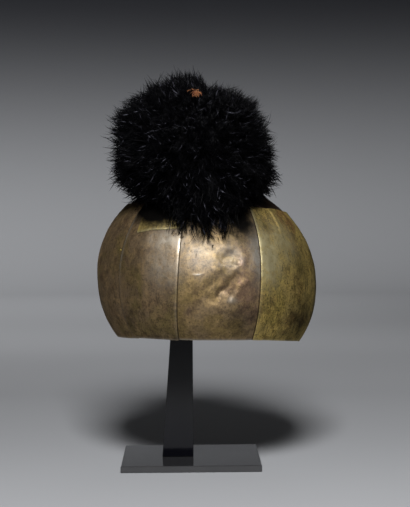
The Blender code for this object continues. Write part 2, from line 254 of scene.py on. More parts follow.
def bowl_to_world():
    """The bowl's place in the frame, as a matrix."""
    turn = Matrix.Rotation(BOWL_ROLL, 4, "Y") @ Matrix.Rotation(-BOWL_TIP_BACK, 4, "X")
    return Matrix.Translation(BOWL_PLACE) @ turn


def placed(points):
    """Move points of the bowl's own frame to the world."""
    pose = np.array(bowl_to_world())
    return points @ pose[:3, :3].T + pose[:3, 3]


def smooth(value, start, end):
    """Run smoothly from 0 at start to 1 at end."""
    share = np.clip((value - start) / (end - start), 0.0, 1.0)
    return share * share * (3 - 2 * share)


def contour(latitude):
    """Width share, height and outward slope of the bowl's form."""
    lift = np.sin(latitude)
    above = lift >= 0
    power = np.where(above, CROWN_POWER, BELLY_POWER)
    height = np.where(above, CROWN_HEIGHT, BELLY_HEIGHT)
    share = np.maximum(0.0, 1 - np.abs(lift) ** power) ** (1 / power)
    slope_out = share ** (power - 1) / HALF_WIDTH
    slope_up = np.sign(lift) * np.abs(lift) ** (power - 1) / height
    steepness = np.hypot(slope_out, slope_up)
    return share, height * lift, slope_out / steepness, slope_up / steepness


def latitude_at(height):
    """The latitude of a height above or below the waist."""
    return np.arcsin(height / np.where(np.asarray(height) >= 0, CROWN_HEIGHT, BELLY_HEIGHT))


def bowl_points(azimuth, latitude, out):
    """Points of the bowl's form, moved out along its slope."""
    share, height, slope_out, slope_up = contour(latitude)
    across = (HALF_WIDTH * share + out * slope_out) * np.sin(azimuth)
    ahead = (HALF_DEPTH * share + out * slope_out) * np.cos(azimuth)
    return np.stack([across + SKEW * height, -ahead, height + out * slope_up], -1)


def seam_azimuth(seam, height):
    """Where a seam runs at one height, on a parabola through its three given azimuths."""
    top, middle, low = SEAM_HEIGHTS
    _, crown, waist, rim = SEAMS[seam % len(SEAMS)]
    slope_up = (crown - waist) / (top - middle)
    slope_down = (waist - rim) / (middle - low)
    bow = (slope_up - slope_down) / (top - low)
    turns = 360.0 * (seam // len(SEAMS))
    return np.radians(waist + (height - middle) * (slope_up + bow * (height - top)) + turns)


def panel_top(azimuth):
    """The latitude of the panels' top edge."""
    return latitude_at(PANEL_TOP - PANEL_TOP_TILT * np.cos(azimuth - PANEL_TOP_LOW_SIDE))


def lap_lift(azimuth, start, end, over):
    """How far a sheet stands out or in, near the two seams that it shares."""
    inside = np.minimum(azimuth - start, end - azimuth) * HALF_WIDTH
    lift = LAP_LIFT if over else -LAP_LIFT
    flat = LAP if over else 0.0
    return lift * (1 - smooth(inside, flat, flat + LAP_RAMP))


def wandered(azimuth, height):
    """The same places, shifted by smooth waves so that no dent is quite round."""
    along = azimuth * HALF_WIDTH
    aside = np.sin(380 * height + 190 * along) + 0.5 * np.sin(700 * along - 320 * height)
    up = np.sin(350 * along - 240 * height) + 0.5 * np.sin(680 * height + 410 * along)
    return azimuth + DENT_WANDER * aside / HALF_WIDTH, height + DENT_WANDER * up


def beaten(panel, azimuth, height):
    """Relief of the dents, ridges and grooves in one sheet."""
    relief = np.zeros(np.broadcast(azimuth, height).shape)
    azimuth, height = wandered(azimuth, height)
    for node_name, centre, middle, half_width, half_height, depth, rim_rise in DENTS:
        if node_name != panel:
            continue
        across = (azimuth - math.radians(centre)) * HALF_WIDTH / half_width
        far = np.hypot(across, (height - middle) / half_height)
        relief -= depth * np.clip(1 - far ** 2, 0.0, 1.0) ** 2
        relief += rim_rise * np.exp(-((far - 1) / RIM_SHARE) ** 2)
    for node_name, azimuth_a, height_a, azimuth_b, height_b, half_width, rise in CREASES:
        if node_name != panel:
            continue
        start = np.array((math.radians(azimuth_a) * HALF_WIDTH, height_a))
        along = np.array((math.radians(azimuth_b) * HALF_WIDTH, height_b)) - start
        length = np.hypot(*along)
        along /= length
        across, up = azimuth * HALF_WIDTH - start[0], height - start[1]
        run = across * along[0] + up * along[1]
        beyond = run - np.clip(run, 0, length)
        aside = across * along[1] - up * along[0]
        relief += rise * np.exp(-(aside ** 2 + beyond ** 2) / half_width ** 2)
    return relief


def stain_marks(azimuth, height):
    """How strongly each kind of stain, wear, painted highlight and painted shade shows, place by place."""
    marks = {kind: np.zeros(np.broadcast(azimuth, height).shape) for kind in STAIN_KINDS}
    for kind, centre, middle, half_width, half_height, strength in STAINS:
        across = (azimuth - math.radians(centre)) * HALF_WIDTH / half_width
        up = (height - middle) / half_height
        marks[kind] = np.maximum(marks[kind], strength * np.exp(-(across ** 2 + up ** 2)))
    return marks


def dart_rise(azimuth, height):
    """How far the dart's right flap stands out."""
    step = smooth(azimuth, DART_AZIMUTH, DART_AZIMUTH + DART_WIDTH)
    fade = 1 - smooth(azimuth, DART_AZIMUTH + DART_WIDTH, DART_AZIMUTH + DART_FADE)
    return DART_RISE * step * fade * smooth(height, DART_FOOT, DART_FULL)


def ripple(points, wavelength, height, seed, waves=24):
    """Gentle hammered unevenness, a sum of waves in random directions."""
    dice = np.random.default_rng(seed)
    total = np.zeros(points.shape[:-1])
    for _ in range(waves):
        heading = dice.normal(size=3)
        heading *= math.tau / (wavelength * dice.uniform(0.6, 1.6)) / np.linalg.norm(heading)
        total += np.sin(points @ heading + dice.uniform(0, math.tau))
    return total * height / math.sqrt(waves / 2)


def make_mesh(name, points, polygons, marks=None, smooth_below=math.radians(35)):
    """A mesh object from arrays; polygons is a list of arrays of quads or triangles."""
    mesh = bpy.data.meshes.new(name)
    corners = np.concatenate([group.ravel() for group in polygons])
    sizes = np.concatenate([np.full(len(group), group.shape[1]) for group in polygons])
    mesh.vertices.add(len(points))
    mesh.vertices.foreach_set("co", points.astype(np.float32).ravel())
    mesh.loops.add(len(corners))
    mesh.loops.foreach_set("vertex_index", corners.astype(np.int32))
    mesh.polygons.add(len(sizes))
    starts = np.concatenate([[0], np.cumsum(sizes)[:-1]])
    mesh.polygons.foreach_set("loop_start", starts.astype(np.int32))
    mesh.update(calc_edges=True)
    mesh.validate()
    for mark, values in (marks or {}).items():
        layer = mesh.attributes.new(mark, "FLOAT_VECTOR" if values.ndim == 2 else "FLOAT", "POINT")
        layer.data.foreach_set("vector" if values.ndim == 2 else "value", values.astype(np.float32).ravel())
    mesh.shade_smooth()
    if smooth_below:
        mesh.set_sharp_from_angle(angle=smooth_below)
    thing = bpy.data.objects.new(name, mesh)
    bpy.context.collection.objects.link(thing)
    return thing


def grid_quads(rows, columns, first=0):
    """The quads of a grid of points, numbered row by row."""
    corner = first + np.arange(rows * columns).reshape(rows, columns)
    return np.stack([corner[:-1, :-1], corner[:-1, 1:], corner[1:, 1:], corner[1:, :-1]], -1).reshape(-1, 4)


def border(rows, columns):
    """The border of a grid, once round, counter-clockwise seen from outside."""
    corner = np.arange(rows * columns).reshape(rows, columns)
    return np.concatenate([corner[0, :-1], corner[:-1, -1], corner[-1, :0:-1], corner[:0:-1, 0]])


def sheet_shell(name, azimuth, latitude, out, thickness, marks):
    """A closed sheet with rounded edges through a grid of places on the bowl."""
    rows, columns = azimuth.shape
    edge = np.zeros((rows, columns))
    edge[[0, -1], :] = EDGE_ROUND
    edge[:, [0, -1]] = EDGE_ROUND
    outer = bowl_points(azimuth, latitude, out + thickness / 2 - edge)
    inner = bowl_points(azimuth, latitude, out - thickness / 2 + edge)
    points = np.concatenate([outer.reshape(-1, 3), inner.reshape(-1, 3)])
    round_outside = border(rows, columns)
    round_inside = round_outside + rows * columns
    side = np.stack([round_outside, round_inside, np.roll(round_inside, -1), np.roll(round_outside, -1)], -1)
    inside_quads = grid_quads(rows, columns, rows * columns)[:, ::-1]
    both = {mark: np.concatenate([values.ravel(), values.ravel()]) for mark, values in marks.items()}
    both["inside"] = np.concatenate([np.zeros(rows * columns), np.ones(rows * columns)])
    height = contour(latitude)[1]
    flat_place = np.stack([azimuth * HALF_WIDTH, height, np.zeros_like(height)], -1).reshape(-1, 3)
    both["sheet_place"] = np.concatenate([flat_place, flat_place])
    return make_mesh(name, placed(points), [grid_quads(rows, columns), inside_quads, side], both)


def with_edges(start, end, step, span):
    """Grid places from start to end, closer near each edge; span is metres per unit."""
    count = max(2, math.ceil((end - start) * span / step))
    places = np.linspace(start, end, count + 1)
    near = EDGE_ROUND / span * np.array((1, 3, 6))
    places = places[(places - start > near[-1]) & (end - places > near[-1])]
    return np.concatenate([[start], start + near, places, end - near[::-1], [end]])


def make_panel(index):
    """One brass sheet of the bowl."""
    name, over, rim_left, rim_right, finish = PANELS[index]
    start, end = seam_azimuth(index, 0.0), seam_azimuth(index + 1, 0.0)
    lap = 0.0 if over else LAP / HALF_WIDTH
    grid = FRONT_GRID if name == "panel_front" else SHEET_GRID
    across = with_edges(start - lap, end + lap, grid, HALF_WIDTH)[None, :]
    share_across = np.clip((across - start) / (end - start), 0.0, 1.0)
    rim = latitude_at(-RIM_DROP + rim_left + (rim_right - rim_left) * share_across)
    up = with_edges(0.0, 1.0, grid, PANEL_LENGTH)[:, None]
    latitude = rim + (panel_top(across) - rim) * up
    height = contour(latitude)[1]
    seam_start, seam_end = seam_azimuth(index, height), seam_azimuth(index + 1, height)
    share = smooth(across, start, end)
    azimuth = across + (seam_start - start) * (1 - share) + (seam_end - end) * share
    out = lap_lift(azimuth, seam_start, seam_end, over)
    out = out + beaten(name, azimuth, height)
    if name == "panel_right":
        out = out + dart_rise(np.broadcast_to(across, azimuth.shape), height)
    inside = np.minimum(azimuth - seam_start, seam_end - azimuth) * HALF_WIDTH
    if over:
        out = out - EDGE_DROOP * (1 - smooth(inside, 0.0, 0.0018))
    calm = smooth(inside, 0.0, 0.012) * smooth(up, 0.0, 0.08)
    out = out + calm * ripple(bowl_points(azimuth, latitude, 0.0), 0.024, 0.00012, index)
    marks = stain_marks(azimuth, height)
    # Bright lapping edges: partly wear, partly their painted glint, stronger upward where the light falls
    glint_upward = 0.15 + 0.85 * smooth(height, -0.015, 0.030)
    marks["wear"] = glint_upward * (1 - smooth(inside, 0.0, 0.0042)) if over else 0 * inside
    # Grime beside the seams, which also paints the shade that the lapping edge casts
    marks["grime_and_shade"] = 0 * inside if over else 1 - smooth(np.abs(inside), 0.0002, 0.0018)
    marks["rim"] = 1 - smooth(up * PANEL_LENGTH + 0 * inside, 0.0005, 0.0035)
    panel = sheet_shell(name + "_sheet", azimuth, latitude, out, SHEET, marks)
    panel.data.materials.append(brass(finish))
    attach(panel, "root")
    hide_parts(name)
    return panel


def make_cap():
    """The bowl's closed top."""
    azimuth, share = np.meshgrid(np.linspace(0, math.tau, 161), np.linspace(0, 0.985, 40))
    edge = panel_top(azimuth) - CAP_LAP / CROWN_HEIGHT
    latitude = edge + (math.pi / 2 - edge) * share
    out = CAP_OUT + ripple(bowl_points(azimuth, latitude, 0.0), 0.02, 0.00012, 31)
    marks = {}
    cap = sheet_shell("crown_cap_sheet", azimuth, latitude, out, SHEET, marks)
    cap.data.materials.append(brass("brass_dark"))
    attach(cap, "root")
    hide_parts("crown_cap")
    return cap


def make_patch():
    """The small yellow sheet on the front left panel."""
    places, heights = zip(*PATCH_LOW_EDGE)
    across = with_edges(math.radians(places[0]), math.radians(places[-1]), SHEET_GRID, HALF_WIDTH)[None, :]
    low = np.interp(np.degrees(across), places, heights)
    up = with_edges(0.0, 1.0, SHEET_GRID, PATCH_TOP - min(heights))[:, None]
    height = low + (PATCH_TOP - low) * up
    azimuth = across + 0 * height
    out = PATCH_OUT + lap_lift(azimuth, seam_azimuth(0, height), seam_azimuth(1, height), True)
    points = bowl_points(azimuth, latitude_at(height), 0.0)
    out = out + np.abs(ripple(points, 0.012, 0.0001, 41))
    marks = stain_marks(azimuth, height)
    # A pale line along the patch's low edge: wear, and the painted glint of its lip
    marks["wear"] = 0.7 * (1 - smooth(height - low, 0.0, 0.003))
    patch = sheet_shell("crown_patch_sheet", azimuth, latitude_at(height), out, PATCH_SHEET, marks)
    patch.data.materials.append(brass("brass_yellow"))
    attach(patch, "root")
    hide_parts("crown_patch")
    return patch


def make_rivet():
    """The small domed rivet head on the left sheet."""
    turn, share = np.meshgrid(np.linspace(0, math.tau, 25), np.linspace(0, 1, 7))
    aside = RIVET_RADIUS * np.sin(share * math.pi / 2)
    latitude = latitude_at(RIVET_LATITUDE_HEIGHT) + aside * np.cos(turn) / CROWN_HEIGHT
    azimuth = RIVET_AZIMUTH - aside * np.sin(turn) / HALF_WIDTH
    foot = SHEET / 2 - LAP_LIFT
    points = bowl_points(azimuth, latitude, foot + RIVET_RISE * np.cos(share * math.pi / 2))
    rivet = make_mesh("left_rivet", placed(points.reshape(-1, 3)), [grid_quads(*turn.shape)])
    rivet.data.materials.append(brass("brass_yellow"))
    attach(rivet, "root")
    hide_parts("panel_left")
    return rivet


def outline_reach(angle):
    """The reach of the tips by the angle of the plume's outline, seen from the front."""
    angles, reaches = (np.array(column) for column in zip(*PLUME_OUTLINE))
    last = np.clip(np.searchsorted(angles, angle), 1, len(angles) - 1)
    share = smooth(angle, angles[last - 1], angles[last])
    return reaches[last - 1] + (reaches[last] - reaches[last - 1]) * share


def plume_reach(direction):
    """How far the plume's tips reach from its centre, by direction."""
    angle = np.degrees(np.arctan2(direction[..., 0], direction[..., 2])) % 360.0
    aside = np.hypot(direction[..., 0], direction[..., 2]) / outline_reach(angle)
    along = direction[..., 1] / np.where(direction[..., 1] < 0, PLUME_AHEAD, PLUME_BEHIND)
    reach = 1 / np.hypot(aside, along)
    to_lobe = LOBE_TIP - PLUME_CENTRE
    far = np.linalg.norm(to_lobe)
    swing = np.arccos(np.clip(direction @ (to_lobe / far), -1, 1))
    return reach + (far - reach) * np.exp(-((swing / LOBE_WIDTH) ** 2))


def outside_bowl(points, clearance):
    """How many times its own clearance surface a point lies out; under 1 is inside."""
    straight = points[..., 0] - SKEW * points[..., 2]
    return np.sqrt((straight / (HALF_WIDTH + clearance)) ** 2
                   + (points[..., 1] / (HALF_DEPTH + clearance)) ** 2
                   + (points[..., 2] / (CROWN_HEIGHT + clearance)) ** 2)


def lift_off(points, clearance):
    """Push points that lie in the bowl out to its clearance surface."""
    depth = np.minimum(outside_bowl(points, clearance), 1.0)[..., None]
    straight = points - np.array((SKEW, 0, 0)) * points[..., 2:3]
    straight = straight / depth
    return straight + np.array((SKEW, 0, 0)) * straight[..., 2:3]


def tangents(directions):
    """Two unit vectors square to each direction."""
    helper = np.where(np.abs(directions[:, 2:3]) < 0.9, np.array((0, 0, 1.0)), np.array((1.0, 0, 0)))
    first = np.cross(directions, helper)
    first /= np.linalg.norm(first, axis=1, keepdims=True)
    return first, np.cross(directions, first)


def strand_mesh(name, roots, middles, tips, widths, dice):
    """Curved, tapered, three-sided strands joined into one mesh, a few with a short painted glint."""
    count = len(roots)
    steps = np.linspace(0, 1, STRAND_RINGS + 1)[None, :, None]
    line = ((1 - steps) ** 2 * roots[:, None] + 2 * steps * (1 - steps) * middles[:, None]
            + steps ** 2 * tips[:, None])
    heading = tips - roots
    heading /= np.linalg.norm(heading, axis=1, keepdims=True)
    first, second = tangents(heading)
    rings = line[:, :-1]
    taper = (1 - steps[:, :-1, 0] ** 2) * widths[:, None]
    corners = []
    for side in range(3):
        turn = math.tau * side / 3
        spoke = math.cos(turn) * first + math.sin(turn) * second
        corners.append(rings + spoke[:, None] * taper[..., None])
    body = np.stack(corners, 2).reshape(count, STRAND_RINGS * 3, 3)
    points = np.concatenate([body, line[:, -1:]], 1).reshape(-1, 3)
    quads = []
    for ring in range(STRAND_RINGS - 1):
        for side in range(3):
            a, b = ring * 3 + side, ring * 3 + (side + 1) % 3
            quads.append((a, b, b + 3, a + 3))
    last = (STRAND_RINGS - 1) * 3
    triangles = [(last + side, last + (side + 1) % 3, last + 3) for side in range(3)]
    offsets = (np.arange(count) * (STRAND_RINGS * 3 + 1))[:, None, None]
    all_quads = (offsets + np.array(quads)).reshape(-1, 4)
    all_triangles = (offsets + np.array(triangles)).reshape(-1, 3)
    marks = {"shade": np.repeat(dice.uniform(size=count), STRAND_RINGS * 3 + 1)}
    # Painted glint: a short pale stretch in the colour of a few strands
    glint = np.zeros((count, STRAND_RINGS * 3 + 1))
    bright = np.flatnonzero(dice.uniform(size=count) < GLINT_SHARE)
    first_corner = 3 * dice.integers(1, STRAND_RINGS, size=len(bright))
    for side in range(3):
        glint[bright, first_corner + side] = dice.uniform(0.3, 1.0, size=len(bright)) ** 2
    marks["glint"] = glint.ravel()
    return make_mesh(name, placed(points), [all_quads, all_triangles], marks, None)


def random_directions(dice, count):
    """Unit vectors spread over the sphere."""
    raw = dice.normal(size=(count, 3))
    return raw / np.linalg.norm(raw, axis=1, keepdims=True)


def shorten(tips, back, length):
    """Roots behind the tips, drawn up to where they stay clear of the bowl."""
    shares = np.linspace(1.0, 0.1, 10)
    tries = tips[:, None] - (back * length)[:, None] * shares[None, :, None]
    clear = outside_bowl(tries, SEAT) >= 1
    first = np.where(clear.any(axis=1), clear.argmax(axis=1), len(shares) - 1)
    return tries[np.arange(len(tips)), first]


def make_strands(piece):
    """One share of the plume's black strands."""
    dice = np.random.default_rng(PLUME_SEED + piece)
    locks = STRANDS_PER_PIECE * 3 // LOCK_STRANDS
    lock_of = np.repeat(np.arange(locks), LOCK_STRANDS)
    lock_direction = random_directions(dice, locks)
    lock_lean = np.cross(lock_direction, dice.normal(size=(locks, 3))) * LOCK_LEAN
    lock_share = 1.03 - 0.30 * dice.uniform(size=locks) ** 1.3
    direction = lock_direction[lock_of] + dice.normal(size=(len(lock_of), 3)) * 0.022
    direction /= np.linalg.norm(direction, axis=1, keepdims=True)
    share = lock_share[lock_of] + dice.uniform(-0.05, 0.05, size=len(lock_of))
    share += 0.10 * dice.uniform(size=len(lock_of)) ** 7
    tips = PLUME_CENTRE + direction * (plume_reach(direction) * share)[:, None]
    free = np.flatnonzero(outside_bowl(tips, SEAT) > 1.0)[:STRANDS_PER_PIECE]
    direction, tips, lean = direction[free], tips[free], lock_lean[lock_of[free]]
    count = len(tips)
    length = dice.uniform(0.013, 0.024, size=(count, 1))
    back = direction + lean + dice.normal(size=(count, 3)) * 0.14
    back /= np.linalg.norm(back, axis=1, keepdims=True)
    roots = shorten(tips, back, length)
    middles = (roots + tips) / 2 + dice.normal(size=(count, 3)) * 0.0010 - lean * 0.003
    middles[:, 2] -= 0.0016
    middles = lift_off(middles, SEAT)
    widths = STRAND_WIDTH * dice.uniform(0.7, 1.3, size=count)
    strands = strand_mesh(f"plume_strands_{piece + 1}", roots, middles, tips, widths, dice)
    strands.data.materials.append(feather("feather_black"))
    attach(strands, "root")
    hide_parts("plume")
    return strands


def make_tuft():
    """The small tan tuft in the plume's front."""
    dice = np.random.default_rng(PLUME_SEED + 50)
    outward = (TUFT_PLACE - PLUME_CENTRE) / np.linalg.norm(TUFT_PLACE - PLUME_CENTRE)
    tips = TUFT_PLACE + dice.normal(size=(TUFT_STRANDS, 3)) * TUFT_SPREAD * np.array((1.0, 0.5, 0.55))
    back = outward + dice.normal(size=(TUFT_STRANDS, 3)) * 0.45
    roots = tips - back / np.linalg.norm(back, axis=1, keepdims=True) * 0.006
    middles = (roots + tips) / 2 + dice.normal(size=(TUFT_STRANDS, 3)) * 0.0010
    tuft = strand_mesh("plume_tuft", roots, middles, tips, np.full(TUFT_STRANDS, STRAND_WIDTH), dice)
    tuft.data.materials.append(feather("feather_tan"))
    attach(tuft, "root")
    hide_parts("plume")
    return tuft


def make_core():
    """The dark mass under the strands."""
    azimuth, latitude = np.meshgrid(np.linspace(0, math.tau, 97), np.linspace(-math.pi / 2, math.pi / 2, 49))
    direction = np.stack([np.cos(latitude) * np.sin(azimuth), -np.cos(latitude) * np.cos(azimuth),
                          np.sin(latitude)], -1)
    reach = plume_reach(direction) * CORE_SHARE
    points = PLUME_CENTRE + direction * reach[..., None]
    points = lift_off(points, SEAT)
    core = make_mesh("plume_core", placed(points.reshape(-1, 3)), [grid_quads(*azimuth.shape)], None, math.pi)
    core.data.materials.append(feather("feather_core"))
    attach(core, "root")
    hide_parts("plume")
    return core


def node(tree, kind, settings=None, **inputs):
    """Add a shader node; inputs are values, or sockets of other nodes."""
    made = tree.nodes.new(kind)
    for key, value in (settings or {}).items():
        setattr(made, key, value)
    for key, value in inputs.items():
        socket = made.inputs[int(key[1:])] if key[0] == "n" and key[1:].isdigit() else made.inputs[key.replace("_", " ")]
        if isinstance(value, bpy.types.NodeSocket):
            tree.links.new(value, socket)
        else:
            socket.default_value = value
    return made


def noise(tree, vector, scale, detail=4.0, roughness=0.55):
    """A noise pattern's strength."""
    made = node(tree, "ShaderNodeTexNoise", Vector=vector, Scale=scale, Detail=detail, Roughness=roughness)
    return made.outputs["Fac"]


def ramp(tree, value, low, high, start=0.0, end=1.0):
    """Map a value from low..high onto start..end, smoothly."""
    made = node(tree, "ShaderNodeMapRange", {"interpolation_type": "SMOOTHSTEP"}, Value=value)
    made.inputs["From Min"].default_value = low
    made.inputs["From Max"].default_value = high
    made.inputs["To Min"].default_value = start
    made.inputs["To Max"].default_value = end
    return made.outputs["Result"]


def maths(tree, operation, first, second=0.0):
    """One step of arithmetic."""
    return node(tree, "ShaderNodeMath", {"operation": operation}, n0=first, n1=second).outputs[0]


def mixed(tree, factor, first, second):
    """Mix two colours."""
    made = node(tree, "ShaderNodeMix", {"data_type": "RGBA"}, n0=factor)
    for socket, value in ((made.inputs[6], first), (made.inputs[7], second)):
        if isinstance(value, bpy.types.NodeSocket):
            tree.links.new(value, socket)
        else:
            socket.default_value = (*value, 1.0)
    return made.outputs[2]


def mark(tree, name, vector=False):
    """A value that the mesh carries."""
    made = node(tree, "ShaderNodeAttribute", {"attribute_name": name})
    return made.outputs["Vector" if vector else "Fac"]


def stretched(tree, vector, scale):
    """The same coordinates, scaled by axis."""
    made = node(tree, "ShaderNodeMapping", Vector=vector)
    made.inputs["Scale"].default_value = scale
    return made.outputs[0]


def new_material(name):
    """A material with its shader, or the one already made under this name."""
    material = bpy.data.materials.new(name)
    material.use_nodes = True
    return material, material.node_tree, material.node_tree.nodes["Principled BSDF"]


# Finishes of the brass, colours linear
BRASSES = {
    # finish: metal, olive, red_brown, dark, pale (rubbed brass, also the colour of the painted highlights),
    # tarnish, specks, streaks, roughness
    "brass_brown": ((0.275, 0.196, 0.116), (0.245, 0.185, 0.078), (0.220, 0.135, 0.080),
                    (0.055, 0.037, 0.024), (0.54, 0.48, 0.39), 0.70, 0.70, 0.45, 0.68),
    "brass_pale": ((0.330, 0.240, 0.140), (0.300, 0.215, 0.088), (0.262, 0.170, 0.110),
                   (0.080, 0.055, 0.036), (0.565, 0.540, 0.490), 0.60, 0.60, 0.25, 0.66),
    "brass_yellow": ((0.470, 0.360, 0.135), (0.370, 0.285, 0.085), (0.330, 0.195, 0.080),
                     (0.060, 0.045, 0.014), (0.66, 0.58, 0.34), 0.65, 0.85, 0.90, 0.69),
    "brass_dark": ((0.080, 0.055, 0.050), (0.070, 0.055, 0.035), (0.075, 0.045, 0.038),
                   (0.025, 0.018, 0.018), (0.20, 0.16, 0.13), 0.50, 0.30, 0.20, 0.60),
}


def brass(finish):
    """Old brass sheet: clouded, speckled and streaked with tarnish, rubbed bright in places, with painted
    highlights on rubbed places and lapping edges and painted shade near seams, under the plume and on the sides.
    """
    if finish + "_aged" in bpy.data.materials:
        return bpy.data.materials[finish + "_aged"]
    metal, olive, red_brown, dark, pale, tarnish, specks, streaks, roughness = BRASSES[finish]
    material, tree, shader = new_material(finish + "_aged")
    place = node(tree, "ShaderNodeTexCoord").outputs["Object"]
    sheet_place = mark(tree, "sheet_place", True)
    clouds = noise(tree, place, 24.0, 6.0, 0.6)
    shifted = node(tree, "ShaderNodeMapping", Vector=place)
    shifted.inputs["Location"].default_value = (3.1, 1.7, 5.3)
    other_clouds = noise(tree, shifted.outputs[0], 40.0, 6.0, 0.65)
    patina = noise(tree, shifted.outputs[0], 85.0, 8.0, 0.75)
    mottle = noise(tree, place, 130.0, 6.0, 0.7)
    speckle = noise(tree, place, 480.0, 4.0, 0.75)
    lines = noise(tree, stretched(tree, sheet_place, (420.0, 55.0, 1.0)), 1.0, 5.0, 0.7)
    scratches = noise(tree, stretched(tree, sheet_place, (90.0, 700.0, 1.0)), 1.0, 4.0, 0.7)
    rub_and_highlight = maths(tree, "MULTIPLY", mark(tree, "rub_and_highlight"), ramp(tree, mottle, 0.30, 0.62, 0.35, 1.0))
    gold = tuple(share * part for share, part in zip((1.50, 1.45, 1.20), metal))
    olive_place = maths(tree, "ADD", clouds, maths(tree, "MULTIPLY", mark(tree, "olive"), 0.25))
    body = mixed(tree, ramp(tree, olive_place, 0.47, 0.66), metal, olive)
    body = mixed(tree, ramp(tree, maths(tree, "ADD", other_clouds, mark(tree, "copper")), 0.50, 0.74), body,
                 red_brown)
    body = mixed(tree, ramp(tree, patina, 0.46, 0.62, 0.0, 0.60), body, gold)
    haze = maths(tree, "ADD", maths(tree, "MULTIPLY", mottle, 0.6), maths(tree, "MULTIPLY", other_clouds, 0.4))
    body = mixed(tree, ramp(tree, haze, 0.44, 0.64, 0.0, tarnish), body, dark)
    body = mixed(tree, ramp(tree, lines, 0.52, 0.66, 0.0, streaks), body, dark)
    body = mixed(tree, ramp(tree, speckle, 0.53, 0.64, 0.0, specks), body, dark)
    body = mixed(tree, ramp(tree, speckle, 0.46, 0.36, 0.0, 0.35), body, gold)
    body = mixed(tree, ramp(tree, scratches, 0.60, 0.72, 0.0, 0.35), body, gold)
    # Pale rubbed brass, partly real wear and partly painted highlight
    body = mixed(tree, rub_and_highlight, body, pale)
    # The lapping edges' wear, which also paints their glint
    worn_and_glint = maths(tree, "MULTIPLY", mark(tree, "wear"), ramp(tree, mottle, 0.36, 0.58, 0.3, 1.0))
    body = mixed(tree, maths(tree, "MULTIPLY", worn_and_glint, 0.85), body, tuple(min(1.0, 1.4 * part) for part in pale))
    body = mixed(tree, ramp(tree, mark(tree, "rim"), 0.0, 1.0, 0.0, 0.4), body, pale)
    # Near-black paint for the painted shade and the plume's painted shadow and reflection, and for a few dark
    # stains
    soot_and_shade = maths(tree, "MULTIPLY", mark(tree, "soot_and_shade"), ramp(tree, mottle, 0.30, 0.60, 0.8, 1.0))
    body = mixed(tree, ramp(tree, soot_and_shade, 0.0, 1.0), body, (0.005, 0.0045, 0.004))
    # Grime by the seams, also the painted shade cast by the lapping edges
    body = mixed(tree, ramp(tree, mark(tree, "grime_and_shade"), 0.0, 1.0, 0.0, 0.85), body,
                 tuple(0.35 * part for part in dark))
    body = mixed(tree, maths(tree, "MULTIPLY", mark(tree, "inside"), 0.8), body,
                 tuple(0.8 * part for part in dark))
    tree.links.new(body, shader.inputs["Base Color"])
    shader.inputs["Metallic"].default_value = 1.0
    shader.inputs["Specular Tint"].default_value = (0.42, 0.38, 0.30, 1.0)
    shader.inputs["Coat Weight"].default_value = 0.10
    shader.inputs["Coat Roughness"].default_value = 0.40
    rough = maths(tree, "ADD", ramp(tree, haze, 0.35, 0.70, roughness - 0.05, roughness + 0.10),
                  maths(tree, "MULTIPLY", maths(tree, "MAXIMUM", rub_and_highlight, maths(tree, "MULTIPLY", worn_and_glint, 2.0)), -0.12))
    tree.links.new(rough, shader.inputs["Roughness"])
    relief = maths(tree, "ADD", maths(tree, "MULTIPLY", speckle, 0.5), maths(tree, "MULTIPLY", mottle, 1.5))
    relief = maths(tree, "ADD", relief, maths(tree, "MULTIPLY", lines, 0.3))
    bump = node(tree, "ShaderNodeBump", Height=relief, Strength=0.5, Distance=0.0005)
    tree.links.new(bump.outputs[0], shader.inputs["Normal"])
    return material


def feather(name):
    """Black feather, glossy along its strands."""
    if name in bpy.data.materials:
        return bpy.data.materials[name]
    material, tree, shader = new_material(name)
    if name == "feather_core":
        pattern = noise(tree, node(tree, "ShaderNodeTexCoord").outputs["Object"], 300.0)
        colour = mixed(tree, pattern, (0.001, 0.001, 0.0015), (0.004, 0.004, 0.005))
        tree.links.new(colour, shader.inputs["Base Color"])
        shader.inputs["Roughness"].default_value = 0.9
        shader.inputs["Specular IOR Level"].default_value = 0.1
        return material
    shade = mark(tree, "shade")
    if name == "feather_tan":
        colour = mixed(tree, shade, (0.10, 0.022, 0.006), (0.46, 0.19, 0.075))
        tree.links.new(colour, shader.inputs["Base Color"])
        shader.inputs["Roughness"].default_value = 0.6
        return material
    # Painted glint: the glint mark turns a few strands pale grey-blue for a short stretch
    colour = mixed(tree, mark(tree, "glint"), (0.0006, 0.0006, 0.0011), (0.18, 0.18, 0.225))
    tree.links.new(colour, shader.inputs["Base Color"])
    tree.links.new(ramp(tree, shade, 0.0, 1.0, 0.55, 0.38), shader.inputs["Roughness"])
    shader.inputs["Specular IOR Level"].default_value = 0.07
    return material


def painted(name, colour, roughness, gloss, lacquer):
    """Dark glossy paint on steel, with faint streaks and cloudy wear."""
    material, tree, shader = new_material(name)
    place = node(tree, "ShaderNodeTexCoord").outputs["Object"]
    streaks = noise(tree, stretched(tree, place, (20.0, 900.0, 900.0)), 1.0, 3.0)
    clouds = noise(tree, place, 30.0, 3.0)
    dark = tuple(0.7 * part for part in colour)
    tree.links.new(mixed(tree, clouds, dark, colour), shader.inputs["Base Color"])
    tree.links.new(ramp(tree, streaks, 0.2, 0.8, roughness - 0.04, roughness + 0.06), shader.inputs["Roughness"])
    shader.inputs["Specular IOR Level"].default_value = gloss
    shader.inputs["Coat Weight"].default_value = lacquer
    shader.inputs["Coat Roughness"].default_value = 0.10
    bump = node(tree, "ShaderNodeBump", Height=streaks, Strength=0.05, Distance=0.0002)
    tree.links.new(bump.outputs[0], shader.inputs["Normal"])
    return material


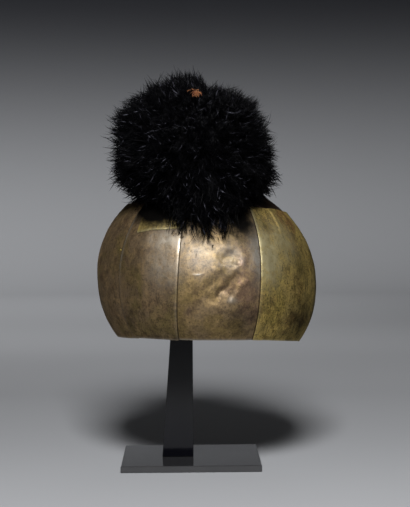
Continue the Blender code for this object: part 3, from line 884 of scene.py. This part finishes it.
def dress_stand():
    """Give the stand's own solids their finishes."""
    for node_name, colour, roughness, gloss, lacquer in (
        ("stand_base", (0.045, 0.045, 0.047), 0.13, 0.50, 1.0),
        ("stand_post", (0.002, 0.002, 0.004), 0.09, 0.48, 0.0),
        ("support_disc", (0.006, 0.006, 0.009), 0.30, 0.50, 0.0),
    ):
        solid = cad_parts[node_name]
        finish = painted(node_name + "_finish", colour, roughness, gloss, lacquer)
        solid.material_slots[0].material = finish


def make_stage():
    """A pale floor that sweeps up all round into a backdrop, painted with shade: darker in front, towards the
    sides and up the wall.
    """
    floor_radius, curve, wall = 2.5, 0.8, 2.6
    bend = np.linspace(0, math.pi / 2, 13)
    radius = np.concatenate([np.linspace(0.0, floor_radius, 8)[:-1], floor_radius + curve * np.sin(bend),
                             [floor_radius + curve]])
    height = np.concatenate([np.zeros(7), curve * (1 - np.cos(bend)), [wall]])
    turn = np.linspace(0, math.tau, 97)
    points = np.stack([radius[:, None] * np.sin(turn), radius[:, None] * np.cos(turn),
                       height[:, None] + 0 * turn - 0.0002], -1)
    stage = make_mesh("studio_floor", points.reshape(-1, 3), [grid_quads(len(radius), len(turn))], None, math.pi)
    material, tree, shader = new_material("studio_floor")
    place = node(tree, "ShaderNodeTexCoord").outputs["Object"]
    along = node(tree, "ShaderNodeSeparateXYZ", Vector=place)
    behind = maths(tree, "DIVIDE", maths(tree, "SUBTRACT", along.outputs[1], FLOOR_NEAR), FLOOR_FAR - FLOOR_NEAR)
    # Painted fall-off of light: the floor's paleness by its distance behind the middle
    painted_falloff = node(tree, "ShaderNodeValToRGB", Fac=behind)
    painted_falloff.color_ramp.interpolation = "EASE"
    stops = painted_falloff.color_ramp.elements
    while len(stops) < len(FLOOR_STOPS):
        stops.new(0.5)
    for stop, (distance, pale) in zip(stops, FLOOR_STOPS):
        stop.position = (distance - FLOOR_NEAR) / (FLOOR_FAR - FLOOR_NEAR)
        stop.color = (*(pale * part for part in STAGE_TINT), 1.0)
    # Painted shade: darker towards the sides, and up the wall to its dark top
    aside = maths(tree, "ABSOLUTE", along.outputs[0])
    floor = mixed(tree, ramp(tree, aside, 0.8, 1.6), painted_falloff.outputs["Color"], (0.15, 0.153, 0.162))
    floor_or_wall = mixed(tree, ramp(tree, along.outputs[2], WALL_FOOT, WALL_TOP), floor, WALL_TOP_COLOUR)
    tree.links.new(floor_or_wall, shader.inputs["Base Color"])
    shader.inputs["Roughness"].default_value = 0.9
    shader.inputs["Specular IOR Level"].default_value = 0.1
    stage.data.materials.append(material)


def soft_light(name, place, aim, width, depth, power, colour=(1, 1, 1)):
    """A soft rectangular light that no camera sees."""
    data = bpy.data.lights.new(name, "AREA")
    data.shape = "RECTANGLE"
    data.size, data.size_y = width, depth
    data.energy = power
    data.color = colour
    lamp = bpy.data.objects.new(name, data)
    lamp.location = place
    lamp.rotation_euler = (Vector(aim) - Vector(place)).to_track_quat("-Z", "Y").to_euler()
    lamp.visible_camera = False
    bpy.context.collection.objects.link(lamp)


def make_lights():
    """Plain soft studio light: one box above and in front, a weak light from above behind, and lights on the
    backdrop.
    """
    soft_light("key", (0.0, -1.26, 1.30), (0.0, 0.0, 0.25), 0.42, 0.42, 37.0)
    soft_light("top_back", (0.4, 1.5, 1.9), (0.0, 0.0, 0.2), 0.8, 0.8, 2.0)
    soft_light("backdrop_0", (-0.55, 1.2, 1.6), (-0.5, 3.3, 0.7), 1.2, 0.4, 29.0)
    for turn, power in ((90, 4.0), (180, 8.0), (270, 4.0)):
        out = Matrix.Rotation(math.radians(turn), 3, "Z") @ Vector((0.0, 1.0, 0.0))
        soft_light(f"backdrop_{turn}", 1.5 * out + Vector((0, 0, 1.5)), 3.3 * out, 1.6, 0.5, power)
    world = bpy.data.worlds.new("studio")
    world.use_nodes = True
    world.node_tree.nodes["Background"].inputs["Color"].default_value = (0.007, 0.0072, 0.008, 1)
    bpy.context.scene.world = world


def make_camera():
    """The camera, where the photograph was taken from."""
    data = bpy.data.cameras.new("camera")
    data.lens = CAMERA_LENS
    camera = bpy.data.objects.new("camera", data)
    turn = (Matrix.Rotation(-CAMERA_YAW, 4, "Z") @ Matrix.Rotation(math.pi / 2 - CAMERA_PITCH, 4, "X")
            @ Matrix.Rotation(CAMERA_ROLL, 4, "Z"))
    camera.matrix_world = Matrix.Translation(CAMERA_PLACE) @ turn
    bpy.context.collection.objects.link(camera)
    bpy.context.scene.camera = camera
    bpy.context.scene.view_settings.view_transform = "Standard"


make_camera()
for panel_index in range(len(PANELS)):
    make_panel(panel_index)
make_cap()
make_patch()
make_rivet()
make_core()
for plume_piece in range(PLUME_PIECES):
    make_strands(plume_piece)
make_tuft()
dress_stand()
make_stage()
make_lights()
